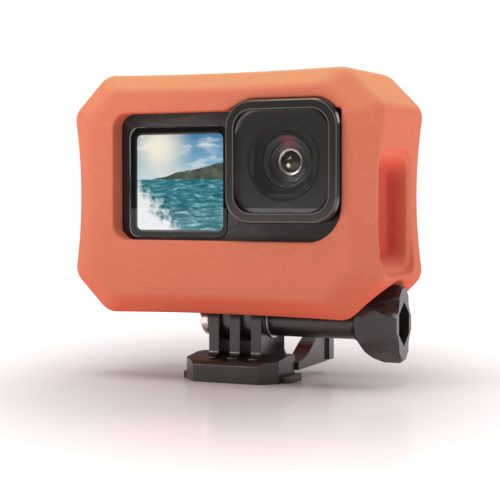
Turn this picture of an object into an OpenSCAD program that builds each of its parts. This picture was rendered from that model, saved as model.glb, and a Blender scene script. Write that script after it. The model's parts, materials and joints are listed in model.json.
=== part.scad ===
// Action camera in a foam float, held by a quick-release buckle and a thumbscrew.
// Frame: X = 0 on the buckle's middle finger, Y = 0 on the thumbscrew's axis,
// Z = 0 on the face the buckle rests on. The lens looks towards -Y.

/* [Camera body] */
// Width of the camera body
body_w = 71.8; // [66:0.1:86]
// Height of the camera body
body_h = 50.8; // [46:0.1:60]
// Depth of the camera body without the lens boss
body_d = 25.2; // [24:0.1:30]
// Middle of the body, to the right of the middle finger
body_x = 0.3; // [-2:0.1:2]
// Underside of the body above the thumbscrew's axis
body_lift = 9.4; // [8.8:0.1:12]
// Radius of the body's corners
body_r = 5.5; // [3:0.5:8]
// Thickness of the case walls
wall = 1.6; // [1.2:0.1:2]
// Depth of the front half of the case
front_shell_d = 9; // [8.6:0.1:9.2]

/* [Screens] */
// Side of the square front cover glass
front_glass_w = 29.5; // [26:0.1:30]
// Side of the front screen panel under it
front_panel_w = 25.2; // [22:0.1:26]
// Middle of the front screen, left of the body's middle
front_screen_dx = 14.45; // [13:0.05:16]
// Middle of the front screen, above the body's middle
front_screen_dz = 1.5; // [-2:0.1:4]
// Width of the rear touch glass
rear_glass_w = 57; // [50:0.5:60]
// Height of the rear touch glass
rear_glass_h = 37; // [32:0.5:40]
// Thickness of the cover glasses
glass_t = 1.1; // [0.8:0.1:1.4]

/* [Lens] */
// Side of the square lens cover frame
cover_w = 31.4; // [28:0.1:33]
// Radius of the cover frame's corners
cover_r = 7.2; // [5:0.1:9]
// How far the cover stands in front of the body
cover_out = 7.4; // [6:0.1:9]
// Thickness of the removable cover frame
cover_t = 3.4; // [3:0.1:4]
// Side of the cover's protective glass
cover_glass_w = 25.6; // [22:0.1:26]
// Middle of the lens, right of the body's middle
lens_dx = 18.6; // [17:0.1:19]
// Middle of the lens, above the body's middle
lens_dz = 6.5; // [5:0.1:8]
// Outer diameter of the lens barrel
barrel_d = 20; // [18:0.1:22]
// Mouth diameter of the barrel's cone
barrel_mouth_d = 18.4; // [17:0.1:19]
// Diameter of the trim ring around the front element
trim_d = 14; // [12:0.1:15]
// Diameter of the domed front element
element_d = 10.6; // [9:0.1:11]

/* [Buttons] */
// Length of the shutter button
shutter_l = 14; // [10:0.5:16]
// Width of the shutter button
shutter_w = 9; // [7:0.5:10]
// Middle of the shutter button, left of the body's middle
shutter_dx = 17; // [14:0.5:20]
// Length of the mode button
mode_l = 9; // [7:0.5:11]
// Width of the mode button
mode_w = 4.4; // [4:0.1:6]
// Travel of both buttons
button_travel = 0.6; // [0.4:0.1:0.8]
// Gap around a button in its hole
button_gap = 0.3; // [0.2:0.05:0.4]

/* [Float] */
// Foam beside the camera body, at the flared corners
foam_side = 9.6; // [8:0.1:12]
// Foam above and below the camera body, at the flared corners
foam_ends = 6.55; // [6:0.05:9]
// Middle of the float, left of the camera body's middle
float_dx = 1.3; // [0:0.1:2]
// Middle of the float, below the camera body's middle
float_dz = 1.6; // [0:0.1:2]
// Rise of the corner bevels seen from the front
float_corner = 10.2; // [8:0.1:12]
// How far the sides curve in between the corners
side_waist = 1.8; // [0:0.1:2.5]
// How far the top and bottom curve in between the corners
top_waist = 0.55; // [0:0.05:1]
// Rounding of the outline's corners
float_round = 3.5; // [2:0.5:5]
// Depth of the bevel around the front
front_bevel = 5; // [4:0.1:6]
// Depth of the bevel around the back
rear_bevel = 4.5; // [4:0.1:6]
// Foam in front of the camera body's face, up to the bevel
front_cover = 0.1; // [0:0.1:0.5]
// Foam behind the camera body, up to the bevel
rear_cover = 3.4; // [2:0.1:5]
// Share of the outline left after the front bevel
bevel_scale = 0.855; // [0.8:0.005:0.92]
// Clearance between the foam and the camera body
foam_gap = 0.1; // [0.05:0.05:0.3]
// Front window beyond the screen's cover glass, at the left
window_side = 2.1; // [1:0.1:2.5]
// Front window beyond the screen's cover glass, below
window_sill = 0.5; // [0:0.1:1]
// Front window below the lens cover, where that is lower
window_under = 4.5; // [4:0.1:5]
// Front window beyond the screen's cover glass, above
window_head = 3.4; // [3:0.1:4]
// Gap between the front window and the lens cover
cover_gap = 0.8; // [0.5:0.1:1]
// Radius of the window's corners beside the screen
window_r = 4.2; // [3:0.1:5]
// Radius of the window's corner below the lens
window_big_r = 9; // [6:0.5:10]
// Gap around a button's hole in the foam
finger_room = 6; // [4:0.5:7]
// Gap around the thumbscrew in the foam
knob_room = 1; // [0.6:0.1:1.4]
// Depth of the pocket in the right side
side_pocket_depth = 5.3; // [4.5:0.1:5.5]
// Length of the pocket in the right side, at its mouth
side_pocket_l = 29.8; // [24:0.1:32]
// Width of the pocket in the right side
side_pocket_w = 21; // [16:0.1:22]
// Pocket behind the front ridge of the float
side_pocket_front = 1; // [1:0.1:4]
// Lower end of the pocket above the body's underside
side_pocket_rise = 4.1; // [3:0.1:8]

/* [Mount] */
// Height of the thumbscrew's axis above the resting face
axis_z = 16.1; // [15:0.1:18]
// Thickness of each of the buckle's fingers
finger_t = 3; // [2.8:0.1:3.6]
// Gap between the buckle's fingers
finger_gap = 3.2; // [3:0.1:3.4]
// Play on each side of a camera finger in that gap
finger_play = 0.1; // [0.05:0.05:0.2]
// Radius of the buckle fingers' ends
finger_r = 7.35; // [7:0.05:7.5]
// Radius of the camera fingers' ends
camera_finger_r = 6; // [5.5:0.1:6.5]
// Diameter of the thumbscrew's bolt
bolt_d = 5; // [5:0.1:5.2]
// Radial running clearance on the bolt
bolt_gap = 0.08; // [0.02:0.01:0.1]
// Width of the buckle's front block
block_w = 27; // [24:0.1:30]
// Front of the block, ahead of the thumbscrew's axis
block_front = 13; // [12:0.1:15]
// Back of the block, behind the thumbscrew's axis
block_back = 1.3; // [1:0.1:3]
// Height of the block's front face
block_front_h = 4.6; // [4:0.1:5]
// Height of the block's back edge
block_back_h = 6.9; // [6:0.1:7.2]
// Plan bevel of the block's front corners
block_bevel = 4; // [3:0.1:5]
// Width across the slide rails
rail_w = 31; // [29:0.1:34]
// Height of the slide rails
rail_h = 2; // [1.6:0.1:2.4]
// Back of the sprung clips
clip_back = 24; // [22:0.1:25]
// Top of the sprung clips
clip_top = 10.8; // [10:0.1:11.2]

/* [Thumbscrew] */
// Radius of the knob's neck
neck_r = 4.4; // [4:0.1:4.8]
// Start of the knob's flare, in from the camera body's right side
flare_in = 5.2; // [4:0.1:5.4]
// Length of the knob from that flare to its outer end
knob_l = 13.6; // [12:0.1:15]
// Reach of the knob's two wings from the axis
knob_r = 10; // [9:0.1:10.4]
// Thickness across the wings
knob_w = 11; // [10:0.1:14]
// Width of the hexagonal socket in the knob's end
socket_w = 7.4; // [6:0.1:8]
// Height of that socket
socket_h = 11.4; // [9:0.1:12]
// Depth of that socket
socket_deep = 6; // [4:0.5:8]
// Thickness of the washer
washer_t = 0.5; // [0.4:0.1:0.8]
// Across the flats of the domed nut
nut_af = 8; // [8:0.1:8.4]
// Radius of the nut's round head
nut_head_r = 4.7; // [4.6:0.1:5]
// How far the nut's head stands out
dome_out = 3; // [2.6:0.1:3.4]

/* [Hidden] */
$fn = 64;
pitch = finger_t + finger_gap;
stack = pitch + finger_t / 2;
body_z0 = axis_z + body_lift;
body_z = body_z0 + body_h / 2;
body_x0 = body_x - body_w / 2;
body_x1 = body_x + body_w / 2;
body_y0 = -body_d / 2;
body_y1 = body_d / 2;
split_y = body_y0 + front_shell_d;
screen_x = body_x - front_screen_dx;
screen_z = body_z + front_screen_dz;
lens_x = body_x + lens_dx;
lens_z = body_z + lens_dz;
cover_y0 = body_y0 - cover_out;
boss_y0 = cover_y0 + cover_t;
float_w = body_w + 2 * foam_side;
float_h = body_h + 2 * foam_ends;
float_x = body_x - float_dx;
float_z = body_z - float_dz;
ridge_y0 = body_y0 - front_cover;
float_y0 = ridge_y0 - front_bevel;
ridge_y1 = body_y1 + rear_cover;
float_y1 = ridge_y1 + rear_bevel;
bolt_r = bolt_d / 2;
bore_r = bolt_r + bolt_gap;
nut_r = nut_af / 2 / cos(30);
skin = 0.3;
seam = 0.05;
shutter_x = body_x - shutter_dx;
mode_z = body_z + 2;
bolt_end_x = -stack - 2.6;
battery_w = 40;
battery_h = 33;
battery_d = 9;
battery_x1 = body_x1 - wall - 1.2;
battery_y1 = body_y1 - wall - 2.4;
battery_z0 = body_z0 + wall + 6.6;
door_h = battery_h + 5;
door_z = battery_z0 + battery_h / 2 - 1.4;
board_y0 = body_y0 + wall + 4.2;
recess_h = 4.4;
clip_x0 = 9.8;
clip_x1 = 14.4;
clip_front = block_back + 0.4;
plate_back = 9.6;
door_w = 13;
door_y = battery_y1 - battery_d / 2 - 1;
door_pin_l = door_h - 7;
light_x = screen_x - 5;
light_z = screen_z + front_glass_w / 2 + 2.2;
light_r = 0.85;
pin_r = 0.8;
screw_r = 0.8;
screw_in = wall + 3.2;
screw_boss_r = 2.2;
screw_tab_r = 3.8;
screw_tab_t = 1.5;
cover_glass_y0 = cover_y0 + 0.6;
barrel_y0 = cover_glass_y0 + glass_t + 0.2;
barrel_l = 14;
barrel_y1 = barrel_y0 + barrel_l;
trim_y = barrel_y0 + 6;
board_w = 27;
board_h = 36;
sensor_board_w = 20;
sensor_board_h = 18;
card_w = 15;
card_l = 11;
speaker_r = 6;
nut_out = 1.6;
finger_top_z = body_z0 + recess_h - 0.2;
finger_pin_z = body_z0 + 2.2;
camera_finger_t = finger_gap - 2 * finger_play;
flare_x = body_x1 - flare_in;
knob_end_x = flare_x + knob_l;
washer_x0 = stack + 0.05;
neck_x0 = washer_x0 + washer_t;

// ---- shared shapes ----

// Rectangle with round corners, centred.
module round_rect(w, h, r) {
  square([w - 2 * r, h], center = true);
  square([w, h - 2 * r], center = true);
  for (sx = [-1, 1], sy = [-1, 1])
    translate([sx * (w / 2 - r), sy * (h / 2 - r)]) circle(r);
}

// Extrudes a profile drawn as seen from the front, from y0 back to y1.
module from_front(y0, y1) {
  translate([0, y1, 0]) rotate([90, 0, 0]) linear_extrude(y1 - y0) children();
}

// Round-cornered plate facing the front, centred on x and z.
module plate(x, z, w, h, r, y0, y1) {
  translate([x, 0, z]) from_front(y0, y1) round_rect(w, h, r);
}

// Cylinder along Y, from y0 back to y1.
module lens_disc(r, y0, y1) {
  translate([lens_x, y1, lens_z]) rotate([90, 0, 0]) cylinder(h = y1 - y0, r = r);
}

// Shape turned around the lens axis: x is the radius, y runs forwards from the point y1.
module lens_turned(y1) {
  translate([lens_x, y1, lens_z]) rotate([90, 0, 0]) rotate_extrude() children();
}

// Cylinder along X on the thumbscrew's axis.
module axis_rod(r, x0, x1) {
  translate([x0, 0, axis_z]) rotate([0, 90, 0]) cylinder(h = x1 - x0, r = r);
}

// Round-ended bar along X, standing up from z0 to z1.
module oval_up(x, y, l, w, z0, z1) {
  translate([x, y, z0]) linear_extrude(z1 - z0) oval(l, w);
}

module oval(l, w) {
  square([l - w, w], center = true);
  for (s = [-1, 1]) translate([s * (l - w) / 2, 0]) circle(w / 2);
}

// Shape drawn in the YZ plane and given thickness along X.
module from_side(x0, x1) {
  translate([x0, 0, 0]) rotate([90, 0, 90]) linear_extrude(x1 - x0) children();
}

// ---- float ----

// Points of a shallow inward curve from a to b.
function waist(a, b, depth, n = 10) = [
  for (i = [0 : n - 1])
    let (t = i / n, s = 4 * t * (1 - t) * depth, d = b - a, m = norm(d))
    a + t * d + s * [-d[1], d[0]] / m
];

// Octagon with long sides that curve in, centred on the float.
module float_outline() {
  hw = float_w / 2;
  hh = float_h / 2;
  c = float_corner;
  offset(r = float_round, $fn = 40) offset(delta = -float_round)
    polygon(concat(
      waist([hw, c - hh], [hw, hh - c], side_waist), [[hw, hh - c]],
      waist([hw - c, hh], [c - hw, hh], top_waist), [[c - hw, hh]],
      waist([-hw, hh - c], [-hw, c - hh], side_waist), [[-hw, c - hh]],
      waist([c - hw, -hh], [hw - c, -hh], top_waist), [[hw - c, -hh]]
    ));
}

module float_solid() {
  translate([float_x, 0, float_z]) {
    from_front(ridge_y0, ridge_y1) float_outline();
    translate([0, ridge_y0, 0]) rotate([90, 0, 0])
      linear_extrude(front_bevel, scale = bevel_scale) float_outline();
    translate([0, ridge_y1, 0]) rotate([-90, 0, 0])
      linear_extrude(rear_bevel, scale = bevel_scale) mirror([0, 1]) float_outline();
  }
}

// Front window: low over the screen, higher around the lens cover, with a slanted step.
module window_outline() {
  x0 = screen_x - front_glass_w / 2 - window_side;
  x1 = lens_x + cover_w / 2 + cover_gap;
  z0 = min(screen_z - front_glass_w / 2 - window_sill, lens_z - cover_w / 2 - window_under);
  z1 = screen_z + front_glass_w / 2 + window_head;
  z2 = lens_z + cover_w / 2 + cover_gap;
  step_x0 = lens_x - cover_w / 2 - cover_gap;
  r = window_r;
  big = window_big_r;
  square_to(x0 + r, z0, x1 - big, z1);
  square_to(x0, z0 + r, x0 + r, z1 - r);
  square_to(x1 - big - seam, z0 + big, x1, z2 - cover_r);
  square_to(step_x0 + 2 * cover_r, z1 - seam, x1 - cover_r, z2);
  translate([x0 + r, z0 + r]) circle(r);
  translate([x0 + r, z1 - r]) circle(r);
  translate([x1 - big, z0 + big]) circle(big);
  translate([x1 - cover_r, z2 - cover_r]) circle(cover_r);
  polygon([[step_x0, z1], [step_x0 + cover_r, z2], [step_x0 + 2 * cover_r + 1, z2],
           [step_x0 + 2 * cover_r + 1, z1 - 1], [step_x0, z1 - 1]]);
}

module square_to(x0, z0, x1, z1) {
  translate([x0, z0]) square([x1 - x0, z1 - z0]);
}

// Joins three thin slices, from the inside out, into one hole with a flared mouth.
module flared() {
  for (i = [0, 1]) hull() {
    children(i);
    children(i + 1);
  }
}

// Thin round-cornered slice facing the right side, or facing the back.
module side_slice(x, y, z, w, l, r) {
  translate([x, y, z]) rotate([90, 0, 90]) linear_extrude(0.1) round_rect(w, l, r);
}

module back_slice(y, w, h, r) {
  plate(body_x, body_z, w, h, r, y, y + 0.1);
}

// Sloped-ended pocket in the right side, for a finger or a strap.
module side_pocket() {
  waist_x = float_x + float_w / 2 - side_waist;
  y = ridge_y0 + side_pocket_w / 2 + side_pocket_front;
  z = body_z0 + side_pocket_l / 2 + side_pocket_rise;
  w = side_pocket_w;
  l = side_pocket_l;
  flared() {
    side_slice(waist_x - side_pocket_depth, y, z, w - 1.4, l - 9, 3.2);
    side_slice(waist_x - 0.6, y, z, w - 0.4, l - 0.8, 3.6);
    side_slice(waist_x + 3, y, z, w + 1.2, l + 3.4, 4.4);
  }
}

// Holes over the shutter button and the mode button.
module shutter_hole() {
  z1 = float_z + float_h / 2;
  l = shutter_l + finger_room;
  w = shutter_w + finger_room;
  flared() {
    oval_up(shutter_x, 0, l, w, body_z, body_z + 1);
    oval_up(shutter_x, 0, l, w, z1 - 2.4, z1 - 2.3);
    oval_up(shutter_x, 0, l + 4, w + 4, z1 + 1, z1 + 1.1);
  }
}

module mode_hole() {
  x0 = float_x - float_w / 2 + side_waist;
  l = mode_l + finger_room + 2;
  w = mode_w + finger_room + 2;
  flared() {
    side_slice(body_x0 + 4, 0, mode_z, w, l, w / 2 - 0.1);
    side_slice(x0 + 1.6, 0, mode_z, w, l, w / 2 - 0.1);
    side_slice(x0 - 2, 0, mode_z, w + 3.6, l + 3.6, w / 2 + 1.7);
  }
}

// Opening behind the rear touch glass.
module rear_window() {
  flared() {
    back_slice(body_y1 - 1, body_w - 7, body_h - 7, 5);
    back_slice(ridge_y1 + 1, body_w - 6.4, body_h - 6.4, 5.2);
    back_slice(float_y1 + 1, body_w - 1, body_h - 1, 6);
  }
}

// Room under the float for the buckle's fingers, the neck and the knob.
module mount_room() {
  left = stack + nut_out + dome_out + 1.2;
  right = stack + 3.2;
  deep = finger_r + 2.2;
  below = axis_z;
  translate([-left, -deep, axis_z - below]) cube([left + right, 2 * deep, body_lift + below + seam]);
  axis_rod(neck_r + knob_room, 0, flare_x + 1);
  translate([flare_x - 2, 0, axis_z]) rotate([0, 90, 0])
    cylinder(h = 6, r1 = neck_r + knob_room, r2 = knob_r + knob_room);
  axis_rod(knob_r + knob_room, flare_x + 4, float_x + float_w / 2 + 2);
}

module float_body() {
  $fn = 40;
  color("coral") difference() {
    float_solid();
    plate(body_x, body_z, body_w + 2 * foam_gap, body_h + 2 * foam_gap, body_r,
          body_y0 - foam_gap, body_y1 + foam_gap);
    from_front(float_y0 - 1, body_y0 + 1) window_outline();
    rear_window();
    shutter_hole();
    mode_hole();
    side_pocket();
    mount_room();
  }
}

// ---- camera case ----

// Space inside the case, between two depths.
module case_room(y0, y1) {
  plate(body_x, body_z, body_w - 2 * wall, body_h - 2 * wall, body_r - wall, y0, y1);
}

// Recess in the underside for the folding fingers.
module finger_recess() {
  translate([-stack - 2, -finger_r, body_z0 - 1])
    cube([2 * (stack + 2), 2 * finger_r, recess_h + 1]);
}

// Walls around that recess, in the part of the case between two depths.
module finger_box(y0, y1) {
  intersection() {
    translate([-stack - 2 - wall, -finger_r - wall, body_z0])
      cube([2 * (stack + 2 + wall), 2 * (finger_r + wall), recess_h + wall]);
    plate(body_x, body_z, body_w, body_h, body_r, y0, y1);
  }
}

module door_hole(gap = 0) {
  translate([body_x1 - wall - 1, 0, door_z]) rotate([90, 0, 90])
    linear_extrude(wall + 2) translate([door_y, 0])
      round_rect(door_w + 2 * gap, door_h + 2 * gap, 2.2);
}

module button_holes(gap) {
  oval_up(shutter_x, 0, shutter_l + 2 * gap, shutter_w + 2 * gap, body_z0 + body_h - wall - 1,
          body_z0 + body_h + 2);
  translate([body_x0 - 1, 0, mode_z]) rotate([90, 0, 90])
    linear_extrude(wall + 2) rotate(90) oval(mode_l + 2 * gap, mode_w + 2 * gap);
}

module screw_places() {
  for (sx = [-1, 1], sz = [-1, 1])
    translate([body_x + sx * (body_w / 2 - screw_in), 0, body_z + sz * (body_h / 2 - screw_in)])
      children();
}

module camera_front_shell() {
  color("#26241f") difference() {
    union() {
      difference() {
        plate(body_x, body_z, body_w, body_h, body_r, body_y0, split_y);
        case_room(body_y0 + wall, split_y + 1);
      }
      plate(lens_x, lens_z, cover_w - 0.8, cover_w - 0.8, cover_r - 0.4, boss_y0, body_y0 + seam);
      finger_box(body_y0, split_y);
      screw_places() from_front(body_y0 + wall - seam, split_y) circle(screw_boss_r);
    }
    finger_recess();
    pin_pair();
    plate(screen_x, screen_z, front_glass_w + 0.1, front_glass_w + 0.1, 3,
          body_y0 - 1, body_y0 + glass_t);
    plate(screen_x, screen_z, front_panel_w + 1, front_panel_w + 1, 2, body_y0, body_y0 + wall + 1);
    lens_disc(barrel_d / 2 + 0.05, boss_y0 - 1, body_y0 + wall + 1);
    lens_disc(barrel_d / 2 + 2.1, boss_y0 - 1, boss_y0 + 1);
    button_holes(button_gap);
    screw_places() from_front(split_y - 7, split_y + 1) circle(screw_r + seam);
    light_pipe(light_r + seam, body_y0 - 1, body_y0 + wall + 1);
  }
}

module camera_rear_shell() {
  color("#26241f") difference() {
    union() {
      difference() {
        plate(body_x, body_z, body_w, body_h, body_r, split_y + seam, body_y1);
        case_room(split_y - 1, body_y1 - wall);
      }
      finger_box(split_y + seam, body_y1);
      intersection() {
        case_room(split_y + seam, split_y + screw_tab_t);
        screw_places() from_front(split_y, split_y + 2) circle(screw_tab_r);
      }
    }
    finger_recess();
    pin_pair();
    screw_places() from_front(split_y, split_y + 2) circle(screw_r + seam);
    plate(body_x, body_z, rear_glass_w + 0.1, rear_glass_h + 0.1, 3, body_y1 - glass_t, body_y1 + 1);
    plate(body_x, body_z, rear_glass_w - 3, rear_glass_h - 3, 2, body_y1 - wall - 1, body_y1);
    door_hole(0.15);
    button_holes(button_gap);
  }
}

module shell_gasket() {
  color("#111111") difference() {
    case_room(split_y - 1, split_y + 0.6);
    plate(body_x, body_z, body_w - 2 * wall - 1.6, body_h - 2 * wall - 1.6, body_r - wall - 0.8,
          split_y - 2, split_y + 2);
    screw_places() from_front(split_y - 2, split_y + 2) circle(screw_tab_r + 2 * seam);
    translate([-stack - 2.2 - wall, -20, body_z0])
      cube([2 * (stack + 2.2 + wall), 40, recess_h + wall]);
  }
}

module shell_screws() {
  color("silver") screw_places() {
    from_front(split_y - 6, split_y + screw_tab_t + seam) circle(screw_r);
    from_front(split_y + screw_tab_t, split_y + screw_tab_t + 1) circle(1.5);
  }
}

// ---- screens ----

module front_display_glass() {
  color("#101418") plate(screen_x, screen_z, front_glass_w, front_glass_w, 3,
    body_y0 - skin, body_y0 + glass_t);
}

module front_display() {
  color("#3b7fb0") plate(screen_x, screen_z, front_panel_w, front_panel_w, 1.3,
    body_y0 + glass_t, body_y0 + glass_t + 1.6);
}

module rear_touch_glass() {
  color("#101418") plate(body_x, body_z, rear_glass_w, rear_glass_h, 3,
    body_y1 - glass_t, body_y1 + skin);
}

module rear_display() {
  color("#1c2833") plate(body_x, body_z, rear_glass_w - 4, rear_glass_h - 4, 1.5,
    body_y1 - glass_t - 1.3, body_y1 - glass_t);
}

// Round rod from front to back at the status light's place.
module light_pipe(r, y0, y1) {
  translate([light_x, 0, light_z]) from_front(y0, y1) circle(r);
}

module status_light() {
  color("white") light_pipe(light_r, body_y0, body_y0 + wall);
}

// ---- lens ----

module lens_cover_frame() {
  lip = (cover_w - cover_glass_w) / 2;
  color("#1d1c1a") difference() {
    union() {
      plate(lens_x, lens_z, cover_w, cover_w, cover_r, cover_y0 + 1, boss_y0);
      plate(lens_x, lens_z, cover_w - 1, cover_w - 1, cover_r - 0.5, cover_y0 + 0.4, cover_y0 + 2);
      plate(lens_x, lens_z, cover_w - 2, cover_w - 2, cover_r - 1, cover_y0, cover_y0 + 2);
    }
    plate(lens_x, lens_z, cover_glass_w + 0.1, cover_glass_w + 0.1, cover_r - lip / 2,
          cover_y0 - 1, cover_glass_y0 + glass_t);
    lens_disc(barrel_d / 2 + 0.6, cover_y0, boss_y0 + 1);
  }
}

module lens_cover_glass() {
  color("#8fa3b0", 0.35) plate(lens_x, lens_z, cover_glass_w, cover_glass_w,
    cover_r - (cover_w - cover_glass_w) / 4 - seam, cover_glass_y0, cover_glass_y0 + glass_t);
}

module lens_cover_seal() {
  color("#0c0c0c") lens_turned(boss_y0 + 1)
    translate([barrel_d / 2 + 1.05, 0.5]) circle(0.5);
}

module lens_barrel() {
  mouth = barrel_mouth_d / 2;
  step = barrel_l - 6;
  cone = barrel_l - 2.6;
  color("#161616") lens_turned(barrel_y1) difference() {
    square([barrel_d / 2, barrel_l]);
    polygon([[0, -1], [element_d / 2 - 1.2, -1], [element_d / 2 - 1.2, step],
             [trim_d / 2, step], [trim_d / 2, cone], [mouth - 0.8, cone],
             [mouth, barrel_l + 1], [0, barrel_l + 1]]);
  }
}

module lens_trim_ring() {
  outer = trim_d / 2 - 0.05;
  inner = element_d / 2 - 1.9;
  color("#0e0e0e") lens_turned(trim_y)
    polygon([[inner, 1.3], [outer, 1.3], [outer, 3], [outer - 0.8, 3], [inner, 1.9]]);
}

module lens_front_element() {
  r = element_d / 2;
  rise = 1.25;
  ball = (r * r + rise * rise) / (2 * rise);
  color("#31405a", 0.5) lens_turned(trim_y) intersection() {
    translate([0, rise - ball]) circle(ball, $fn = 128);
    square([r, rise]);
  }
}

module lens_rear_elements() {
  r = element_d / 2 - 1.3;
  color("#40506a", 0.5) {
    lens_disc(r, trim_y + 0.8, trim_y + 2.4);
    lens_disc(r, trim_y + 3.2, trim_y + 4.2);
    lens_disc(r, trim_y + 5.4, trim_y + 7.4);
  }
}

module image_sensor() {
  color("#2a2f45") plate(lens_x, lens_z, 9, 7.5, 0.5, barrel_y1 + 0.1, barrel_y1 + 1);
}

module sensor_board() {
  color("darkgreen") plate(lens_x, lens_z, sensor_board_w, sensor_board_h, 1,
    barrel_y1 + 1, barrel_y1 + 1.8);
}

// ---- electronics ----

module battery() {
  color("#3a3a3a") translate([battery_x1 - battery_w, battery_y1 - battery_d, battery_z0])
    cube([battery_w, battery_d, battery_h]);
}

module main_board() {
  color("darkgreen") plate(screen_x - 1, body_z + 1, board_w, board_h, 2, board_y0, board_y0 + 1);
}

module heat_spreader() {
  color("silver") plate(screen_x - 1, body_z + 1, board_w - 2, board_h - 3, 2,
    board_y0 + 1, board_y0 + 1.6);
}

module memory_card() {
  color("#222222")
    translate([body_x1 - wall - card_w - 1.5, battery_y1 - battery_d - 1, battery_z0 + battery_h + 0.8])
      cube([card_w, card_l, 1]);
}

module usb_port() {
  color("silver") translate([battery_x1 - 7.4, battery_y1 - 4.5, battery_z0 - 2.2]) rotate([90, 0, 90])
    linear_extrude(7.4) difference() {
      oval(9, 3.2);
      oval(8.4, 2.6);
    }
}

module speaker() {
  color("#555555") translate([body_x0 + wall + 8, 0, body_z0 + wall + 9])
    from_front(body_y1 - wall - 7, body_y1 - wall - 4) circle(speaker_r);
}

// ---- door and buttons ----

module battery_door() {
  color("#26241f") translate([body_x1 - wall + 0.05, 0, door_z]) rotate([90, 0, 90])
    linear_extrude(wall - 0.05) translate([door_y, 0]) round_rect(door_w, door_h, 2.1);
}

module battery_door_seal() {
  color("#b03a2e") translate([body_x1 - wall - 0.8, 0, door_z]) rotate([90, 0, 90])
    linear_extrude(0.85) translate([door_y, 0]) difference() {
      round_rect(door_w - 1, door_h - 1, 2);
      round_rect(door_w - 2.6, door_h - 2.6, 1.4);
    }
}

module battery_door_pin() {
  color("silver")
    translate([body_x1 - wall - 1.6, door_y - door_w / 2 - 1.2, door_z - door_pin_l / 2])
      cylinder(h = door_pin_l, r = 0.6);
}

module shutter_button() {
  z1 = body_z0 + body_h;
  color("#8e2a22") {
    oval_up(shutter_x, 0, shutter_l, shutter_w, z1 - wall + button_travel, z1 + 0.9);
    oval_up(shutter_x, 0, shutter_l - 4, shutter_w - 4, z1 - wall - 0.6, z1 - wall + button_travel + seam);
  }
}

module shutter_switch() {
  z1 = body_z0 + body_h - wall - 0.6 - button_travel - 0.2;
  color("gold") translate([shutter_x, 0, z1 - 1.2]) cylinder(h = 1.2, r = 2.4);
}

module mode_button() {
  color("#26241f") {
    translate([body_x0 - 0.8, 0, mode_z]) rotate([90, 0, 90])
      linear_extrude(wall + 0.8) rotate(90) oval(mode_l, mode_w);
    translate([body_x0 + wall - seam, 0, mode_z]) rotate([90, 0, 90])
      linear_extrude(0.6 + seam) rotate(90) oval(mode_l - 3, mode_w - 2);
  }
}

module mode_switch() {
  x0 = body_x0 + wall + 0.6 + button_travel + 0.2;
  color("gold") translate([x0, 0, mode_z]) rotate([0, 90, 0]) cylinder(h = 1.2, r = 2);
}

// ---- camera fingers ----

// One folding finger, bored for the thumbscrew and for its own pin.
module camera_finger(x) {
  color("#23211f") difference() {
    from_side(x - camera_finger_t / 2, x + camera_finger_t / 2) {
      translate([0, axis_z]) circle(camera_finger_r);
      translate([-camera_finger_r, axis_z]) square([2 * camera_finger_r, finger_top_z - axis_z]);
    }
    axis_rod(bore_r, -20, 20);
    translate([x, 10, finger_pin_z]) rotate([90, 0, 0]) cylinder(h = 20, r = pin_r + 0.03);
  }
}

module mounting_finger_left() {
  camera_finger(-pitch / 2);
}

module mounting_finger_right() {
  camera_finger(pitch / 2);
}

module pin_pair() {
  for (s = [-1, 1])
    translate([s * pitch / 2, finger_r + 1.2, finger_pin_z]) rotate([90, 0, 0])
      cylinder(h = 2 * (finger_r + 1.2), r = pin_r);
}

module finger_pins() {
  color("silver") pin_pair();
}

// ---- buckle ----

// Profile of one buckle finger with a flared foot.
module finger_profile() {
  foot = block_back_h - 1;
  translate([0, axis_z]) circle(finger_r);
  translate([-finger_r, foot - 2]) square([2 * finger_r, axis_z - foot + 2]);
  difference() {
    translate([-finger_r - 1.8, foot - 2]) square([2 * finger_r + 2.9, 4.2]);
    translate([-finger_r - 1.8, foot + 2.2]) circle(1.8);
    translate([finger_r + 1.8, foot + 2.2]) circle(1.8);
  }
}

// Side profile of the front block, rising towards the back.
module block_profile() {
  polygon([[-block_front, 0], [block_back, 0], [block_back, block_back_h],
           [-3, block_back_h], [-block_front + 1.2, block_front_h + 1], [-block_front, block_front_h]]);
}

module block_plan() {
  h = block_w / 2;
  polygon([[-h, block_back], [-h, -block_front + block_bevel], [-h + block_bevel, -block_front],
           [h - block_bevel, -block_front], [h, -block_front + block_bevel], [h, block_back]]);
}

module buckle_base() {
  color("#23211f") difference() {
    union() {
      intersection() {
        linear_extrude(block_back_h) block_plan();
        from_side(-block_w / 2, block_w / 2) block_profile();
      }
      translate([-clip_x0 + 0.9, block_back - seam, 0])
        cube([2 * clip_x0 - 1.8, plate_back - block_back + seam, block_back_h - 0.9]);
      for (s = [-1, 0, 1])
        from_side(s * pitch - finger_t / 2, s * pitch + finger_t / 2) finger_profile();
      axis_rod(nut_r + 1.4, -stack - 1.2, -stack + seam);
      for (s = [0, 1]) mirror([s, 0, 0])
        translate([block_w / 2 - seam, -block_front + 6, 0])
          cube([(rail_w - block_w) / 2 + seam, block_front - 6 + block_back, rail_h]);
    }
    axis_rod(bore_r, -20, 20);
    translate([-stack - 3, 0, axis_z]) rotate([0, 90, 0]) rotate(30)
      cylinder(h = 3 + 2.2, r = nut_r + 0.05, $fn = 6);
  }
}

// One sprung clip on the right: a deep arm that rises to an upright tab.
module buckle_clip() {
  from_side(clip_x0, clip_x1) polygon([
    [clip_front, rail_h + 0.6], [clip_back - 3, rail_h + 1.2], [clip_back - 3, clip_top], [14, clip_top - 0.6],
    [10.5, clip_top - 2.6], [7.5, clip_top - 4.6], [clip_front, rail_h + 2.6]
  ]);
  translate([clip_x0 - 1.2, clip_back - 3.4, rail_h + 1.6])
    cube([clip_x1 - clip_x0 + 2, 3.4, clip_top - rail_h - 1.6]);
}

module buckle_clip_right() {
  color("#23211f") buckle_clip();
}

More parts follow.
